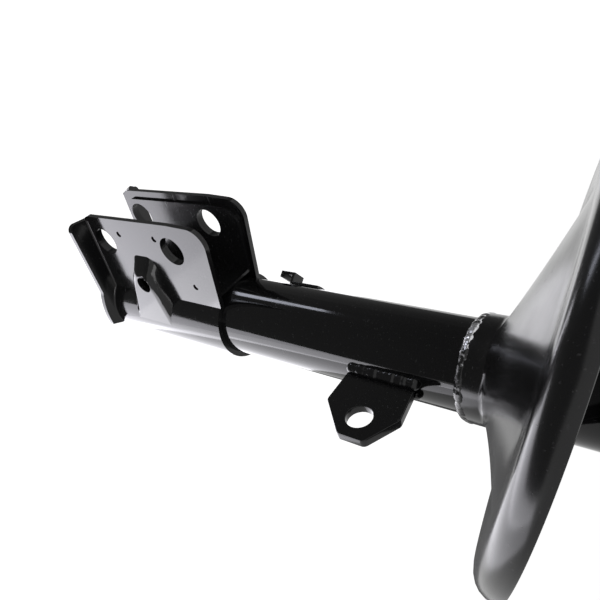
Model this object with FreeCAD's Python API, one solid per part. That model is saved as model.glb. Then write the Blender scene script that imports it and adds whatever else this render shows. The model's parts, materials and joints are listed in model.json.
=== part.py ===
import FreeCAD, Part
import math
import os

from FreeCAD import Placement, Rotation, Vector

os.makedirs("parts", exist_ok=True)

# A suspension strut with its dust boot and top mount, at its longest, in millimetres.
# The coil spring is moved over from the worn strut, so the seats and pads are made for one that isn't here.
# Z points up the strut, X from the tube towards the free edges of the bracket's ears, and Y along the bolts.
# The origin is the centre of the top mount's face that rests on the car body.

# Strut lengths
strut_length = 445.0
damper_travel = 140.0

# Clearances, and how far a cutting shape runs past what it cuts
weld_fit = 0.1
seat_gap = 0.3
rod_fit = 0.04
piston_fit = 0.08
swivel_gap = 0.4
groove_gap = 0.1
cut_margin = 20.0

# Outer tube, measured from the upper end of the knuckle bracket
tube_diameter = 43.0
tube_wall = 2.0
tube_end_inset = 9.5
tube_above_bracket_top = 232.0

# Knuckle bracket
bracket_wall = 2.8
liner_wall = 1.6
knuckle_width = 25.4
bracket_length = 96.5
bracket_end_slope = 5.0
ear_reach = 67.4
ear_corner_radius = 10.0
ear_rise = 9.4
ear_setback = 1.6
ear_edge_drop = 16.6
ear_lower_radius = 6.0
bolt_hole_diameter = 17.0
bolt_spacing = 58.4
bolt_offset = 51.3
upper_bolt_drop = 20.0
flange_width = 10.0
flange_end_width = 6.5
flange_setback = 2.0
flange_shoulder = 18.0
flange_corner_radius = 4.0
flange_curve_azimuth = 82.0
flange_tail_azimuth = 98.0
flange_end_azimuth = 118.0
liner_inset = 4.6
liner_bottom_inset = 9.0
liner_top_inset = 1.0

# Spot welds of the liner, measured from the bolt holes
spot_diameter = 3.6
spot_depth = 0.7
spot_outer_offset = 6.4
spot_inner_offset = 22.1
spot_outer_drop = 11.0
spot_outer_rise = 16.5
spot_inner_rise = 7.2
spot_inner_drop = 3.0

# Raised rib on each ear
rib_height = 7.2
rib_foot_rise = 16.0
rib_foot_drop = 28.5
rib_top_width = 16.0
rib_top_offset = 49.5
rib_crest_offset = 37.0
rib_hole_diameter = 10.0
rib_hole_offset = 29.5
rib_edge_radius = 6.0
rib_hollow_radius = 3.0
rib_root = 2.0
rib_foot_draft = 4.0
rib_top_draft = 0.5

# Link bracket, on the side of the near ear
link_plate_wall = 4.0
link_plate_rise = 101.5
link_plate_width = 37.0
link_plate_shoulder = 42.0
link_plate_reach = 57.5
link_tip_width = 13.0
link_hole_diameter = 12.0
link_hole_reach = 46.1
link_corner_radius = 3.0
link_tip_lean = 3.0
link_upper_root_drop = 3.0
link_hole_lift = 1.0
link_bead = 6.4
link_bead_offset = 1.4
link_bead_sink = 0.6
link_bead_inset = 2.0

# Hose clip on the far side
clip_azimuth = -55.0
clip_rise = 30.0
clip_length = 27.0
clip_width = 9.0
clip_wall = 1.6
clip_hook_height = 6.4
clip_hook_length = 8.0
clip_lip = 3.8

# Lower spring seat
seat_weld_rise = 138.6
seat_collar_length = 10.5
seat_wall = 2.6
seat_offset = 32.0
seat_azimuth = 26.0
seat_tilt = 17.5
seat_axis_rise = 163.0
seat_rim_radius = 86.0
seat_rim_height = 5.0
seat_floor_depth = 5.0
seat_floor_radius = 79.0
seat_cone_radius = 60.0
seat_rim_draft = 0.8
seat_lip_wall = 2.2
seat_cone_overlap = 3.0
weld_bead = 3.2
weld_bead_height = 4.2

# Coil spring that the seats are made for, and its pads
spring_wire = 12.0
spring_mean_radius = 69.0
spring_pad_thickness = 4.0
lower_pad_inner_margin = 2.5
lower_pad_outer_margin = 1.0
lower_pad_lip_wall = 2.2
lower_pad_lip_height = 4.0
upper_pad_inner_margin = 1.2
upper_pad_outer_margin = 3.0

# Piston rod and pressure tube
rod_diameter = 20.0
rod_stud_diameter = 12.0
rod_stud_projection = 18.0
pressure_tube_diameter = 33.0
pressure_tube_wall = 1.5
piston_height = 20.0
piston_ring_height = 9.0
piston_ring_wall = 1.0
piston_port_diameter = 3.0
port_count = 6
valve_disc_height = 1.2
upper_disc_margin = 3.0
lower_disc_margin = 4.0
piston_nut_height = 9.0
piston_nut_width = 17.0
nut_corner_bevel = 1.6
rod_end_below_nut = 3.0
rod_edge_bevel = 1.0
rebound_collar_margin = 1.5
rebound_collar_height = 4.0
rebound_bumper_margin = 1.2
rebound_bumper_height = 8.0
rebound_bumper_bevel = 2.0
base_cap_height = 4.0
base_cap_cup = 1.4
base_cap_cup_radius = 10.5
base_cap_flat_radius = 14.5
base_valve_height = 16.0
base_valve_spigot = 6.0
base_valve_foot_height = 4.0
base_valve_margin = 1.0
base_valve_port_diameter = 3.2
base_valve_port_margin = 4.5
guide_height = 22.0
guide_spigot = 6.0
guide_bush_wall = 1.5
seal_height = 6.0
seal_lip_width = 2.5
seal_lip_recess = 1.0
tube_cap_wall = 1.5
tube_cap_skirt = 12.0
tube_cap_top = 4.0
tube_cap_hole_margin = 1.2

# Top mount
mount_radius = 70.0
mount_wall = 3.0
mount_cup_radius = 37.0
mount_cup_depth = 22.0
mount_cup_lip = 8.0
mount_core_diameter = 24.0
mount_core_height = 28.0
mount_core_rise = 1.0
mount_rubber_inner_sink = 2.0
mount_rubber_inner_width = 3.0
mount_rubber_groove_width = 9.0
mount_rubber_groove_depth = 7.0
mount_rubber_outer_width = 5.0
mount_rubber_outer_drop = 3.0
stud_circle_diameter = 122.0
stud_diameter = 9.8
stud_knurl_diameter = 10.8
stud_relief = 0.2
stud_length = 24.0
stud_head_diameter = 14.0
stud_head_height = 2.4
stud_count = 3
rod_washer_diameter = 38.0
rod_washer_height = 2.5
rod_washer_flat_inset = 5.0
rod_washer_dish = 1.5
rod_nut_width = 18.0
rod_nut_height = 10.0
bump_washer_diameter = 46.0
bump_washer_height = 3.0

# Strut bearing
bearing_mean_radius = 44.0
bearing_race_width = 12.0
bearing_race_height = 5.0
ball_diameter = 6.0
ball_count = 24
race_gap = 2.0
cage_half_width = 4.8
cage_pocket_gap = 0.15

# Upper spring seat
upper_seat_wall = 2.5
upper_seat_drop = 11.0
upper_seat_radius = 83.0
upper_seat_lip = 9.0
upper_seat_land_margin = 0.6
upper_seat_step_width = 2.4
upper_seat_lip_draft = 2.0
upper_seat_neck_radius = 42.5
upper_seat_neck_length = 15.0

# Bump stop and dust boot
bump_stop_length = 60.0
bump_stop_radius = 22.5
bump_stop_waist = 18.0
bump_stop_nose = 20.0
bump_stop_tip = 16.0
boot_wall = 1.2
boot_collar_radius = 39.6
boot_rib_radius = 31.0
boot_valley_radius = 26.0
boot_lip_radius = 25.6
boot_rib_count = 14
boot_rib_slope_share = 0.3
boot_rib_crest_share = 0.2
boot_end_rise = 192.5
boot_cuff_length = 22.0
boot_lip_height = 2.6
boot_collar_margin = 2.0
boot_shoulder_length = 8.0

# Places worked out from the sizes
bracket_top = -strut_length
tube_radius = tube_diameter / 2
tube_bore = tube_radius - tube_wall
tube_top = bracket_top + tube_above_bracket_top
bracket_bottom = bracket_top - bracket_length
tube_bottom = bracket_bottom + tube_end_inset
wrap_inner = tube_radius + weld_fit
wrap_outer = wrap_inner + bracket_wall
liner_face = knuckle_width / 2
ear_inner = liner_face + liner_wall + weld_fit
ear_outer = ear_inner + bracket_wall
flange_edge = ear_outer + flange_width
flange_tail = wrap_outer + flange_end_width
upper_bolt = bracket_top - upper_bolt_drop
lower_bolt = upper_bolt - bolt_spacing
rib_middle = (upper_bolt + lower_bolt) / 2
rod_radius = rod_diameter / 2
stud_radius = rod_stud_diameter / 2
stud_hole = stud_radius + weld_fit
pressure_bore = pressure_tube_diameter / 2 - pressure_tube_wall
guide_top = tube_top - seal_height
guide_bottom = guide_top - guide_height
pressure_tube_top = guide_bottom + guide_spigot
base_valve_bottom = tube_bottom + base_cap_height
pressure_tube_bottom = base_valve_bottom + base_valve_height - base_valve_spigot
rebound_bumper_top = guide_bottom - seat_gap
rebound_collar_top = rebound_bumper_top - rebound_bumper_height
upper_disc_top = rebound_collar_top - rebound_collar_height
piston_top = upper_disc_top - valve_disc_height
piston_bottom = piston_top - piston_height
piston_middle = (piston_top + piston_bottom) / 2
piston_nut_top = piston_bottom - valve_disc_height
piston_nut_bottom = piston_nut_top - piston_nut_height
core_bottom = mount_core_rise - mount_core_height
core_top = core_bottom + mount_core_height
rod_shoulder = core_bottom - bump_washer_height
upper_race_top = -mount_wall
upper_race_bottom = upper_race_top - bearing_race_height
lower_race_top = upper_race_bottom - race_gap
race_middle = (upper_race_bottom + lower_race_top) / 2
lower_race_bottom = lower_race_top - bearing_race_height
upper_land = lower_race_bottom
spring_land = upper_land - upper_seat_drop
spring_pad_bottom = spring_land - upper_seat_wall - spring_pad_thickness
bump_stop_top = rod_shoulder
bump_stop_bottom = bump_stop_top - bump_stop_length
boot_bottom = bracket_top + boot_end_rise
collar_bottom = bracket_top + seat_weld_rise
collar_top = collar_bottom + seat_collar_length
link_plate_middle = bracket_top + link_plate_rise
seat_floor_bottom = -seat_floor_depth
seat_floor_top = seat_wall - seat_floor_depth

tilt_direction = Vector(math.cos(math.radians(seat_azimuth)), math.sin(math.radians(seat_azimuth)), 0)
seat_slope = math.tan(math.radians(seat_tilt))
seat_centre_height = bracket_top + seat_axis_rise + seat_slope * seat_offset
seat_centre = tilt_direction * seat_offset + Vector(0, 0, seat_centre_height)
seat_turn = Rotation(Vector(0, 0, 1).cross(tilt_direction), -seat_tilt)
seat_normal = seat_turn.multVec(Vector(0, 0, 1))


def save(shape, name):
    """Write one sub-part as a STEP file."""
    shape.exportStep(f"parts/{name}.step")
    print(name, "solids", len(shape.Solids), "volume", round(shape.Volume), "valid", shape.isValid())


def cylinder(radius, bottom, top):
    """A round bar on the strut's axis."""
    return Part.makeCylinder(radius, top - bottom, Vector(0, 0, bottom))


def ring(outer, inner, bottom, top):
    """A plain ring on the strut's axis."""
    return cylinder(outer, bottom, top).cut(cylinder(inner, bottom - cut_margin, top + cut_margin))


def block(x, y, z):
    """A box given by its three ranges."""
    return Part.makeBox(x[1] - x[0], y[1] - y[0], z[1] - z[0], Vector(x[0], y[0], z[0]))


def cross_bar(diameter, x, z, reach):
    """A round bar along Y through both ears, used for bolt holes."""
    return Part.makeCylinder(diameter / 2, 2 * reach, Vector(x, -reach, z), Vector(0, 1, 0))


def around(radius, count, first=0.0):
    """Places evenly round the strut's axis, starting at an angle in degrees."""
    places = []
    for k in range(count):
        turn = math.radians(first + 360 * k / count)
        places.append(Vector(math.cos(turn), math.sin(turn), 0) * radius)
    return places


def level(place, height):
    """A place moved to a height."""
    return Vector(place.x, place.y, height)


def drill(body, places, diameter, bottom, top):
    """Cut the same vertical hole at several places."""
    length = top - bottom + 2 * cut_margin
    holes = [Part.makeCylinder(diameter / 2, length, level(place, bottom - cut_margin)) for place in places]
    return body.cut(holes)


def turned(profile):
    """A turned piece from its half section, given as radius and height."""
    points = [Vector(r, 0, z) for r, z in profile]
    wire = Part.makePolygon(points + points[:1])
    return Part.Face(wire).revolve(Vector(), Vector(0, 0, 1), 360)


def outline(corners, place):
    """A closed wire through corners of the form (u, v, radius), with each corner rounded."""
    edges = []
    ends = []
    count = len(corners)
    for i in range(count):
        u, v, radius = corners[i]
        here = Vector(u, v, 0)
        before = Vector(*corners[i - 1][:2], 0) - here
        after = Vector(*corners[(i + 1) % count][:2], 0) - here
        before.normalize()
        after.normalize()
        half = before.getAngle(after) / 2
        reach = radius / math.tan(half)
        start = here + before * reach
        end = here + after * reach
        middle_line = before + after
        middle_line.normalize()
        middle = here + middle_line * (radius / math.sin(half) - radius)
        ends.append((start, middle, end, radius))
    for i in range(count):
        start, middle, end, radius = ends[i]
        if radius > 0:
            edges.append(Part.Arc(place(start), place(middle), place(end)).toShape())
        following = ends[(i + 1) % count][0]
        if end.distanceToPoint(following) > 1e-6:
            edges.append(Part.LineSegment(place(end), place(following)).toShape())
    return Part.Wire(edges)


def side_plate(corners, near, far):
    """A plate across Y, from corners in X and Z."""
    wire = outline(corners, lambda p: Vector(p.x, near, p.y))
    return Part.Face(wire).extrude(Vector(0, far - near, 0))


def hexagon(width, bottom, top, hole):
    """A hexagon nut on the strut's axis, with its corners bevelled."""
    radius = width / math.sqrt(3)
    corners = [level(place, bottom) for place in around(radius, 6)]
    body = Part.Face(Part.makePolygon(corners + corners[:1])).extrude(Vector(0, 0, top - bottom))
    bevel = turned([
        (0, bottom),
        (width / 2, bottom),
        (width / 2 + nut_corner_bevel, bottom + nut_corner_bevel),
        (width / 2 + nut_corner_bevel, top - nut_corner_bevel),
        (width / 2, top),
        (0, top),
    ])
    return body.common(bevel).cut(cylinder(hole, bottom - cut_margin, top + cut_margin))


def both_sides(shape):
    """The shape and its mirror image across the strut's middle plane."""
    return [shape, shape.mirror(Vector(), Vector(0, 1, 0))]


def ear_corners(inset):
    """The ear's outline in X and Z, drawn in by an inset."""
    root = wrap_outer / 2
    reach = ear_reach - inset
    slope = math.tan(math.radians(bracket_end_slope))
    return [
        (root, bracket_top - inset / 2, 0),
        (reach - ear_setback, bracket_top + ear_rise - inset, ear_corner_radius),
        (reach, bracket_top - ear_edge_drop, 0),
        (reach, bracket_bottom + reach * slope + inset, ear_lower_radius),
        (root, bracket_bottom + root * slope + inset, 0),
    ]


def rib_form(shrink):
    """The raised rib on one ear as a solid, drawn in by the wall for its hollow side."""
    base_y = liner_face
    crest_y = ear_outer + rib_height - shrink
    sections = [
        (base_y, rib_top_offset, 0, 0),
        (crest_y, rib_crest_offset, rib_top_draft, rib_foot_draft),
    ]
    wires = []
    for y, top_x, top_draft, foot_draft in sections:
        half_top = rib_top_width / 2 - shrink - top_draft
        drawn_in = shrink + foot_draft
        points = [
            Vector(rib_root, y, rib_middle - rib_foot_drop + drawn_in),
            Vector(top_x - shrink, y, rib_middle - half_top),
            Vector(top_x - shrink, y, rib_middle + half_top),
            Vector(rib_root, y, rib_middle + rib_foot_rise - drawn_in),
        ]
        wires.append(Part.makePolygon(points + points[:1]))
    return Part.makeLoft(wires, True, True)


def rounded_rib(shrink, radius):
    """The rib's form with the edges of its crest rounded."""
    form = rib_form(shrink)
    crest_y = ear_outer + rib_height - shrink
    edges = []
    for edge in form.Edges:
        ends = [v.Point for v in edge.Vertexes]
        on_crest = any(abs(p.y - crest_y) < weld_fit for p in ends)
        past_root = any(p.x > rib_root + weld_fit for p in ends)
        if on_crest and past_root:
            edges.append(edge)
    return form.makeFillet(radius, edges)


def end_flange():
    """The flange turned outwards at the bracket's lower end, on the near side."""
    reach = ear_reach - flange_setback
    turn = flange_corner_radius
    centre = Vector(reach - turn, flange_edge - turn, 0)
    side = centre + Vector(turn, 0, 0)
    bow = centre + azimuth_vector(45) * turn
    face = centre + Vector(0, turn, 0)
    shoulder = Vector(flange_shoulder, flange_edge, 0)
    curve = azimuth_vector(flange_curve_azimuth) * flange_tail
    tail = azimuth_vector(flange_tail_azimuth) * flange_tail
    root = azimuth_vector(flange_end_azimuth) * wrap_inner
    foot = Vector(wrap_inner / 2, ear_inner, 0)
    start = Vector(reach, ear_inner, 0)
    edges = [
        Part.makePolygon([start, side]),
        Part.Arc(side, bow, face).toShape(),
        Part.makePolygon([face, shoulder]),
        Part.Arc(shoulder, curve, tail).toShape(),
        Part.makePolygon([tail, root, foot, start]),
    ]
    wire = Part.Wire([e for piece in edges for e in piece.Edges])
    flat = Part.Face(wire).extrude(Vector(0, 0, bracket_wall))
    return to_end_slope(flat)


def azimuth_vector(azimuth):
    """A level unit vector, at an angle in degrees from X towards Y."""
    turn = math.radians(azimuth)
    return Vector(math.cos(turn), math.sin(turn), 0)


def to_end_slope(shape):
    """Move a shape drawn about the origin onto the bracket's sloping lower end."""
    shape.rotate(Vector(), Vector(0, 1, 0), -bracket_end_slope)
    shape.translate(Vector(0, 0, bracket_bottom))
    return shape


def knuckle_bracket():
    """The pressed bracket that wraps the tube and holds the knuckle between its ears."""
    low = bracket_bottom - cut_margin
    high = bracket_top + cut_margin
    wrap = ring(wrap_outer, wrap_inner, bracket_bottom - cut_margin / 2, bracket_top)
    body = wrap.cut(block((0, wrap_outer + cut_margin), (-ear_inner, ear_inner), (low, high)))
    ears = both_sides(side_plate(ear_corners(0), ear_inner, ear_outer))
    ribs = both_sides(rounded_rib(0, rib_edge_radius))
    body = body.fuse(ears + ribs + both_sides(end_flange()))
    hollows = both_sides(rounded_rib(bracket_wall, rib_hollow_radius))
    body = body.cut([cylinder(wrap_inner, low, high)] + hollows)
    side = ear_reach + cut_margin
    below = to_end_slope(block((-side, side), (-side, side), (-side, 0)))
    cutters = [below, block((wrap_inner, side), (-ear_inner, ear_inner), (low, high))]
    through = flange_edge
    for z in (upper_bolt, lower_bolt):
        cutters.append(cross_bar(bolt_hole_diameter, bolt_offset, z, through))
    cutters.append(cross_bar(rib_hole_diameter, rib_hole_offset, rib_middle, through))
    for x, z in spot_places():
        floor = Vector(x, ear_outer - spot_depth, z)
        pit = Part.makeCylinder(spot_diameter / 2, cut_margin, floor, Vector(0, 1, 0))
        cutters += both_sides(pit)
    return body.cut(cutters).removeSplitter()


def spot_places():
    """The four spot welds of each ear, as X and Z."""
    outer = bolt_offset + spot_outer_offset
    inner = bolt_offset - spot_inner_offset
    return [
        (outer, upper_bolt - spot_outer_drop),
        (outer, lower_bolt + spot_outer_rise),
        (inner, upper_bolt + spot_inner_rise),
        (inner, lower_bolt - spot_inner_drop),
    ]


def bracket_liner():
    """The channel inside the ears, which doubles the wall at the bolts and backs onto the tube."""
    outer = liner_face + liner_wall
    web_face = wrap_inner + liner_wall
    bottom = bracket_bottom + liner_bottom_inset
    top = bracket_top - liner_top_inset
    flanks = both_sides(side_plate(ear_corners(liner_inset), liner_face, outer))
    web = block((wrap_inner, web_face), (-outer, outer), (bottom, top))
    height = (bracket_bottom - cut_margin, bracket_top + cut_margin)
    cutters = [block((0, wrap_inner), (-outer, outer), height)]
    for z in (upper_bolt, lower_bolt):
        cutters.append(cross_bar(bolt_hole_diameter, bolt_offset, z, flange_edge))
    return web.fuse(flanks).cut(cutters).removeSplitter()


def bracket_weld():
    """The weld that closes the tube's lower end against the inside of the bracket."""
    return turned([
        (wrap_inner, tube_bottom - weld_bead),
        (wrap_inner, tube_bottom),
        (tube_bore + weld_fit, tube_bottom),
        (tube_bore + weld_bead / 3, tube_bottom - weld_bead / 2),
    ])


def link_bracket():
    """The plate that takes the stabiliser link, standing out sideways from the tube."""
    half = link_plate_width / 2
    tip = link_tip_width / 2
    tip_middle = link_plate_middle + link_tip_lean
    root = tube_bore
    upper_root = link_plate_middle + half - link_upper_root_drop
    corners = [
        (root, link_plate_middle - half, 0),
        (link_plate_shoulder, link_plate_middle - half, link_corner_radius),
        (link_plate_reach, tip_middle - tip, link_corner_radius),
        (link_plate_reach, tip_middle + tip, link_corner_radius),
        (link_plate_shoulder, link_plate_middle + half, link_corner_radius),
        (root, upper_root, 0),
    ]
    face = Part.Face(outline(corners, lambda p: Vector(-link_plate_wall / 2, p.x, p.y)))
    plate = face.extrude(Vector(link_plate_wall, 0, 0))
    hole_start = Vector(-cut_margin, link_hole_reach, link_plate_middle + link_hole_lift)
    hole = Part.makeCylinder(link_hole_diameter / 2, 2 * cut_margin, hole_start, Vector(1, 0, 0))
    return plate.cut([cylinder(tube_radius + weld_fit, bracket_top, tube_top), hole])


def link_welds():
    """The two weld beads along the foot of the link bracket."""
    low = link_plate_middle - link_plate_width / 2 + link_bead_inset / 2
    start = Vector(link_plate_wall / 2 + link_bead_offset, tube_radius + link_bead_sink, low)
    bead = Part.makeCylinder(link_bead / 2, link_plate_width - 2 * link_bead_inset, start)
    beside = block((link_plate_wall / 2 + weld_fit, cut_margin), (0, strut_length), (bracket_top, tube_top))
    bead = bead.common(beside).cut(cylinder(tube_radius + weld_fit, bracket_top, tube_top))
    return Part.makeCompound([bead, bead.mirror(Vector(), Vector(1, 0, 0))])


def hose_clip():
    """The small strap on the far side with a raised hook for a hose or a wire."""
    inner = tube_radius + weld_fit
    low = bracket_top + clip_rise - clip_length / 2
    high = low + clip_length
    half = clip_width / 2
    bend = low + clip_hook_length
    step = inner + clip_hook_height
    strap = ring(inner + clip_wall, inner, bend, high)
    strap = strap.common(block((0, step), (-half, half), (low, high)))
    riser = block((inner - clip_wall, step), (-half, half), (bend, bend + clip_wall))
    hook = block((step - clip_wall, step), (-half, half), (low, bend + clip_wall))
    lip = block((step - clip_lip, step), (-half, half), (low, low + clip_wall))
    piece = strap.fuse([riser, hook, lip]).cut(cylinder(inner, bracket_top, tube_top)).removeSplitter()
    piece.rotate(Vector(), Vector(0, 0, 1), clip_azimuth)
    return piece


def seat_place(x, y, z):
    """A point in the lower seat's own tilted frame, whose origin is the rim circle's centre."""
    return seat_centre + seat_turn.multVec(Vector(x, y, z))


def to_seat(shape):
    """Move a shape drawn about the origin into the lower seat's tilted frame."""
    moved = shape.copy()
    moved.Placement = Placement(seat_centre, seat_turn)
    return moved


def seat_circle(radius, height):
    """A circle in the lower seat's frame."""
    return Part.Wire(Part.makeCircle(radius, seat_place(0, 0, height), seat_normal))


def level_circle(radius, height):
    """A level circle on the strut's axis."""
    return Part.Wire(Part.makeCircle(radius, Vector(0, 0, height), Vector(0, 0, 1)))


def seat_cone(low_radius, low_height, high_radius, high_height):
    """A slanting cone from a level circle at the collar to a circle in the seat's tilted frame."""
    circles = [level_circle(low_radius, low_height), seat_circle(high_radius, high_height)]
    return Part.makeLoft(circles, True, True)


def lower_spring_seat():
    """The tilted dish that takes the spring, with its collar round the tube."""
    floor_inner = seat_cone_radius - seat_cone_overlap
    rim = seat_rim_radius + seat_rim_draft
    dish = turned([
        (floor_inner, seat_floor_bottom),
        (seat_floor_radius, seat_floor_bottom),
        (seat_rim_radius, 0.0),
        (rim, seat_rim_height),
        (rim - seat_lip_wall, seat_rim_height),
        (seat_rim_radius - seat_lip_wall, seat_rim_draft),
        (seat_floor_radius - seat_rim_draft, seat_floor_top),
        (floor_inner, seat_floor_top),
    ])
    # The cone's faces cross the collar and the floor and never lie in them
    overlap = seat_cone_overlap / 2
    outer = seat_cone(wrap_outer - bracket_wall / 4, collar_top - overlap,
                      seat_cone_radius, seat_floor_bottom + seat_wall / 3)
    inner = seat_cone(wrap_inner - bracket_wall / 4, collar_top + overlap / 2,
                      seat_cone_radius - overlap, seat_floor_top + seat_wall / 3)
    collar = ring(wrap_outer, wrap_inner - bracket_wall / 4, collar_bottom, collar_top)
    body = outer.fuse([to_seat(dish), collar])
    bore = cylinder(wrap_inner, bracket_top, tube_top)
    return body.cut([inner, bore]).removeSplitter()


def seat_weld():
    """The weld ring under the seat's collar."""
    inner = tube_radius + weld_fit
    return turned([
        (inner, collar_bottom - weld_bead_height),
        (inner + weld_bead / 2, collar_bottom - weld_bead_height),
        (wrap_outer + weld_bead / 6, collar_bottom - weld_bead_height / 3),
        (wrap_outer, collar_bottom),
        (inner, collar_bottom),
    ])


def lower_spring_pad():
    """The rubber pad between the lower seat and the spring, with a lip inside the coil."""
    inner = spring_mean_radius - spring_wire / 2 - lower_pad_inner_margin
    outer = spring_mean_radius + spring_wire / 2 + lower_pad_outer_margin
    top = seat_floor_top + spring_pad_thickness
    return to_seat(turned([
        (inner, seat_floor_top),
        (outer, seat_floor_top),
        (outer, top),
        (inner + lower_pad_lip_wall, top),
        (inner + lower_pad_lip_wall, top + lower_pad_lip_height),
        (inner, top + lower_pad_lip_height),
    ]))


def outer_tube():
    """The strut's outer tube."""
    return ring(tube_radius, tube_bore, tube_bottom, tube_top)


def base_cap():
    """The cupped disc that closes the tube's lower end."""
    radius = tube_bore - weld_fit
    return turned([
        (0, tube_bottom + base_cap_cup),
        (base_cap_cup_radius, tube_bottom + base_cap_cup),
        (base_cap_flat_radius, tube_bottom),
        (radius, tube_bottom),
        (radius, base_valve_bottom),
        (0, base_valve_bottom),
    ])


def base_valve():
    """The foot valve between the base cap and the pressure tube."""
    spigot = pressure_bore - weld_fit
    foot = tube_bore - base_valve_margin
    top = pressure_tube_bottom + base_valve_spigot
    body = turned([
        (0, base_valve_bottom),
        (spigot, base_valve_bottom),
        (foot, base_valve_bottom + base_valve_foot_height),
        (foot, pressure_tube_bottom),
        (spigot, pressure_tube_bottom),
        (spigot, top),
        (0, top),
    ])
    ports = around(spigot - base_valve_port_margin, port_count)
    return drill(body, ports, base_valve_port_diameter, base_valve_bottom, top)


def pressure_tube():
    """The inner tube in which the piston runs."""
    return ring(pressure_tube_diameter / 2, pressure_bore, pressure_tube_bottom, pressure_tube_top)


def rod_guide():
    """The guide that centres the rod in both tubes."""
    bore = rod_radius + rod_fit + guide_bush_wall + weld_fit
    return turned([
        (bore, guide_bottom),
        (pressure_bore - weld_fit, guide_bottom),
        (pressure_bore - weld_fit, pressure_tube_top),
        (tube_bore - weld_fit, pressure_tube_top),
        (tube_bore - weld_fit, guide_top),
        (bore, guide_top),
    ])


def guide_bush():
    """The plain bush in the guide, in which the rod slides."""
    inner = rod_radius + rod_fit
    return ring(inner + guide_bush_wall, inner, guide_bottom, guide_top)


def rod_seal():
    """The oil seal above the guide."""
    lip = rod_radius + rod_fit
    outer = tube_bore - weld_fit
    return turned([
        (lip, guide_top + seal_lip_recess),
        (lip + seal_lip_width, guide_top),
        (outer, guide_top),
        (outer, tube_top),
        (lip + seal_lip_width, tube_top),
        (lip, tube_top - seal_lip_recess),
    ])


def tube_cap():
    """The cap pressed over the tube's upper end, which the bump stop lands on."""
    inner = tube_radius + weld_fit
    outer = inner + tube_cap_wall
    hole = rod_radius + tube_cap_hole_margin
    top = tube_top + tube_cap_top
    return turned([
        (inner, tube_top - tube_cap_skirt),
        (outer, tube_top - tube_cap_skirt),
        (outer, top - tube_cap_wall),
        (outer - tube_cap_wall, top),
        (hole, top),
        (hole, tube_top),
        (inner, tube_top),
    ])


def piston_rod():
    """The piston rod, with a turned-down stud at each end."""
    lower_end = piston_nut_bottom - rod_end_below_nut
    return turned([
        (0, lower_end),
        (stud_radius - rod_edge_bevel, lower_end),
        (stud_radius, lower_end + rod_edge_bevel),
        (stud_radius, upper_disc_top),
        (rod_radius, upper_disc_top),
        (rod_radius, rod_shoulder - rod_edge_bevel),
        (rod_radius - rod_edge_bevel, rod_shoulder),
        (stud_radius, rod_shoulder),
        (stud_radius, rod_stud_projection - rod_edge_bevel),
        (stud_radius - rod_edge_bevel, rod_stud_projection),
        (0, rod_stud_projection),
    ])


def piston():
    """The piston, with a groove for its ring and a circle of ports."""
    outer = pressure_bore - 2 * piston_fit
    groove = outer - piston_ring_wall - groove_gap
    half = piston_ring_height / 2 + groove_gap
    body = turned([
        (stud_hole, piston_bottom),
        (outer, piston_bottom),
        (outer, piston_middle - half),
        (groove, piston_middle - half),
        (groove, piston_middle + half),
        (outer, piston_middle + half),
        (outer, piston_top),
        (stud_hole, piston_top),
    ])
    ports = around((stud_hole + groove) / 2, port_count)
    return drill(body, ports, piston_port_diameter, piston_bottom, piston_top)


def piston_ring():
    """The band round the piston that seals it in the pressure tube."""
    half = piston_ring_height / 2
    outer = pressure_bore - piston_fit
    return ring(outer, outer - piston_ring_wall, piston_middle - half, piston_middle + half)


def valve_discs():
    """The spring discs on both faces of the piston."""
    upper = ring(pressure_bore - upper_disc_margin, stud_hole, piston_top, upper_disc_top)
    lower = ring(pressure_bore - lower_disc_margin, stud_hole, piston_nut_top, piston_bottom)
    return Part.makeCompound([upper, lower])


def piston_nut():
    """The nut that holds the piston on the rod."""
    return hexagon(piston_nut_width, piston_nut_bottom, piston_nut_top, stud_hole)


def rebound_collar():
    """The collar on the rod that carries the rebound bumper."""
    outer = pressure_bore - rebound_collar_margin
    return ring(outer, rod_radius + weld_fit, upper_disc_top, rebound_collar_top)


def rebound_bumper():
    """The rubber ring that meets the guide when the strut is at its longest."""
    inner = rod_radius + weld_fit
    outer = pressure_bore - rebound_bumper_margin
    return turned([
        (inner, rebound_collar_top),
        (outer, rebound_collar_top),
        (outer, rebound_bumper_top - rebound_bumper_bevel),
        (outer - rebound_bumper_bevel, rebound_bumper_top),
        (inner, rebound_bumper_top),
    ])


def bump_washer():
    """The washer between the rod's shoulder and the mount's core."""
    return ring(bump_washer_diameter / 2, stud_hole, rod_shoulder, core_bottom)


def bump_stop():
    """The foam bump stop on the rod, with its two waists."""
    inner = rod_radius + seat_gap
    step = bump_stop_length / 12
    return turned([
        (inner, bump_stop_bottom),
        (bump_stop_tip, bump_stop_bottom),
        (bump_stop_nose, bump_stop_bottom + 2 * step),
        (bump_stop_nose, bump_stop_bottom + 3 * step),
        (bump_stop_waist, bump_stop_bottom + 4 * step),
        (bump_stop_radius, bump_stop_bottom + 6 * step),
        (bump_stop_radius, bump_stop_bottom + 7 * step),
        (bump_stop_waist, bump_stop_bottom + 9 * step),
        (bump_stop_radius, bump_stop_bottom + 10 * step),
        (bump_stop_radius, bump_stop_top),
        (inner, bump_stop_top),
    ])


def mount_plate():
    """The pressed steel plate of the top mount, with the cup that holds its rubber."""
    cup_inner = mount_cup_radius - mount_wall
    lip = mount_cup_radius - mount_cup_lip
    cup_bottom = -mount_cup_depth
    plate = turned([
        (cup_inner, 0),
        (mount_radius, 0),
        (mount_radius, -mount_wall),
        (mount_cup_radius, -mount_wall),
        (mount_cup_radius, cup_bottom),
        (lip, cup_bottom),
        (lip, cup_bottom + mount_wall),
        (cup_inner, cup_bottom + mount_wall),
    ])
    return drill(plate, stud_places(), stud_knurl_diameter + 2 * weld_fit, -mount_wall, 0)


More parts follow.
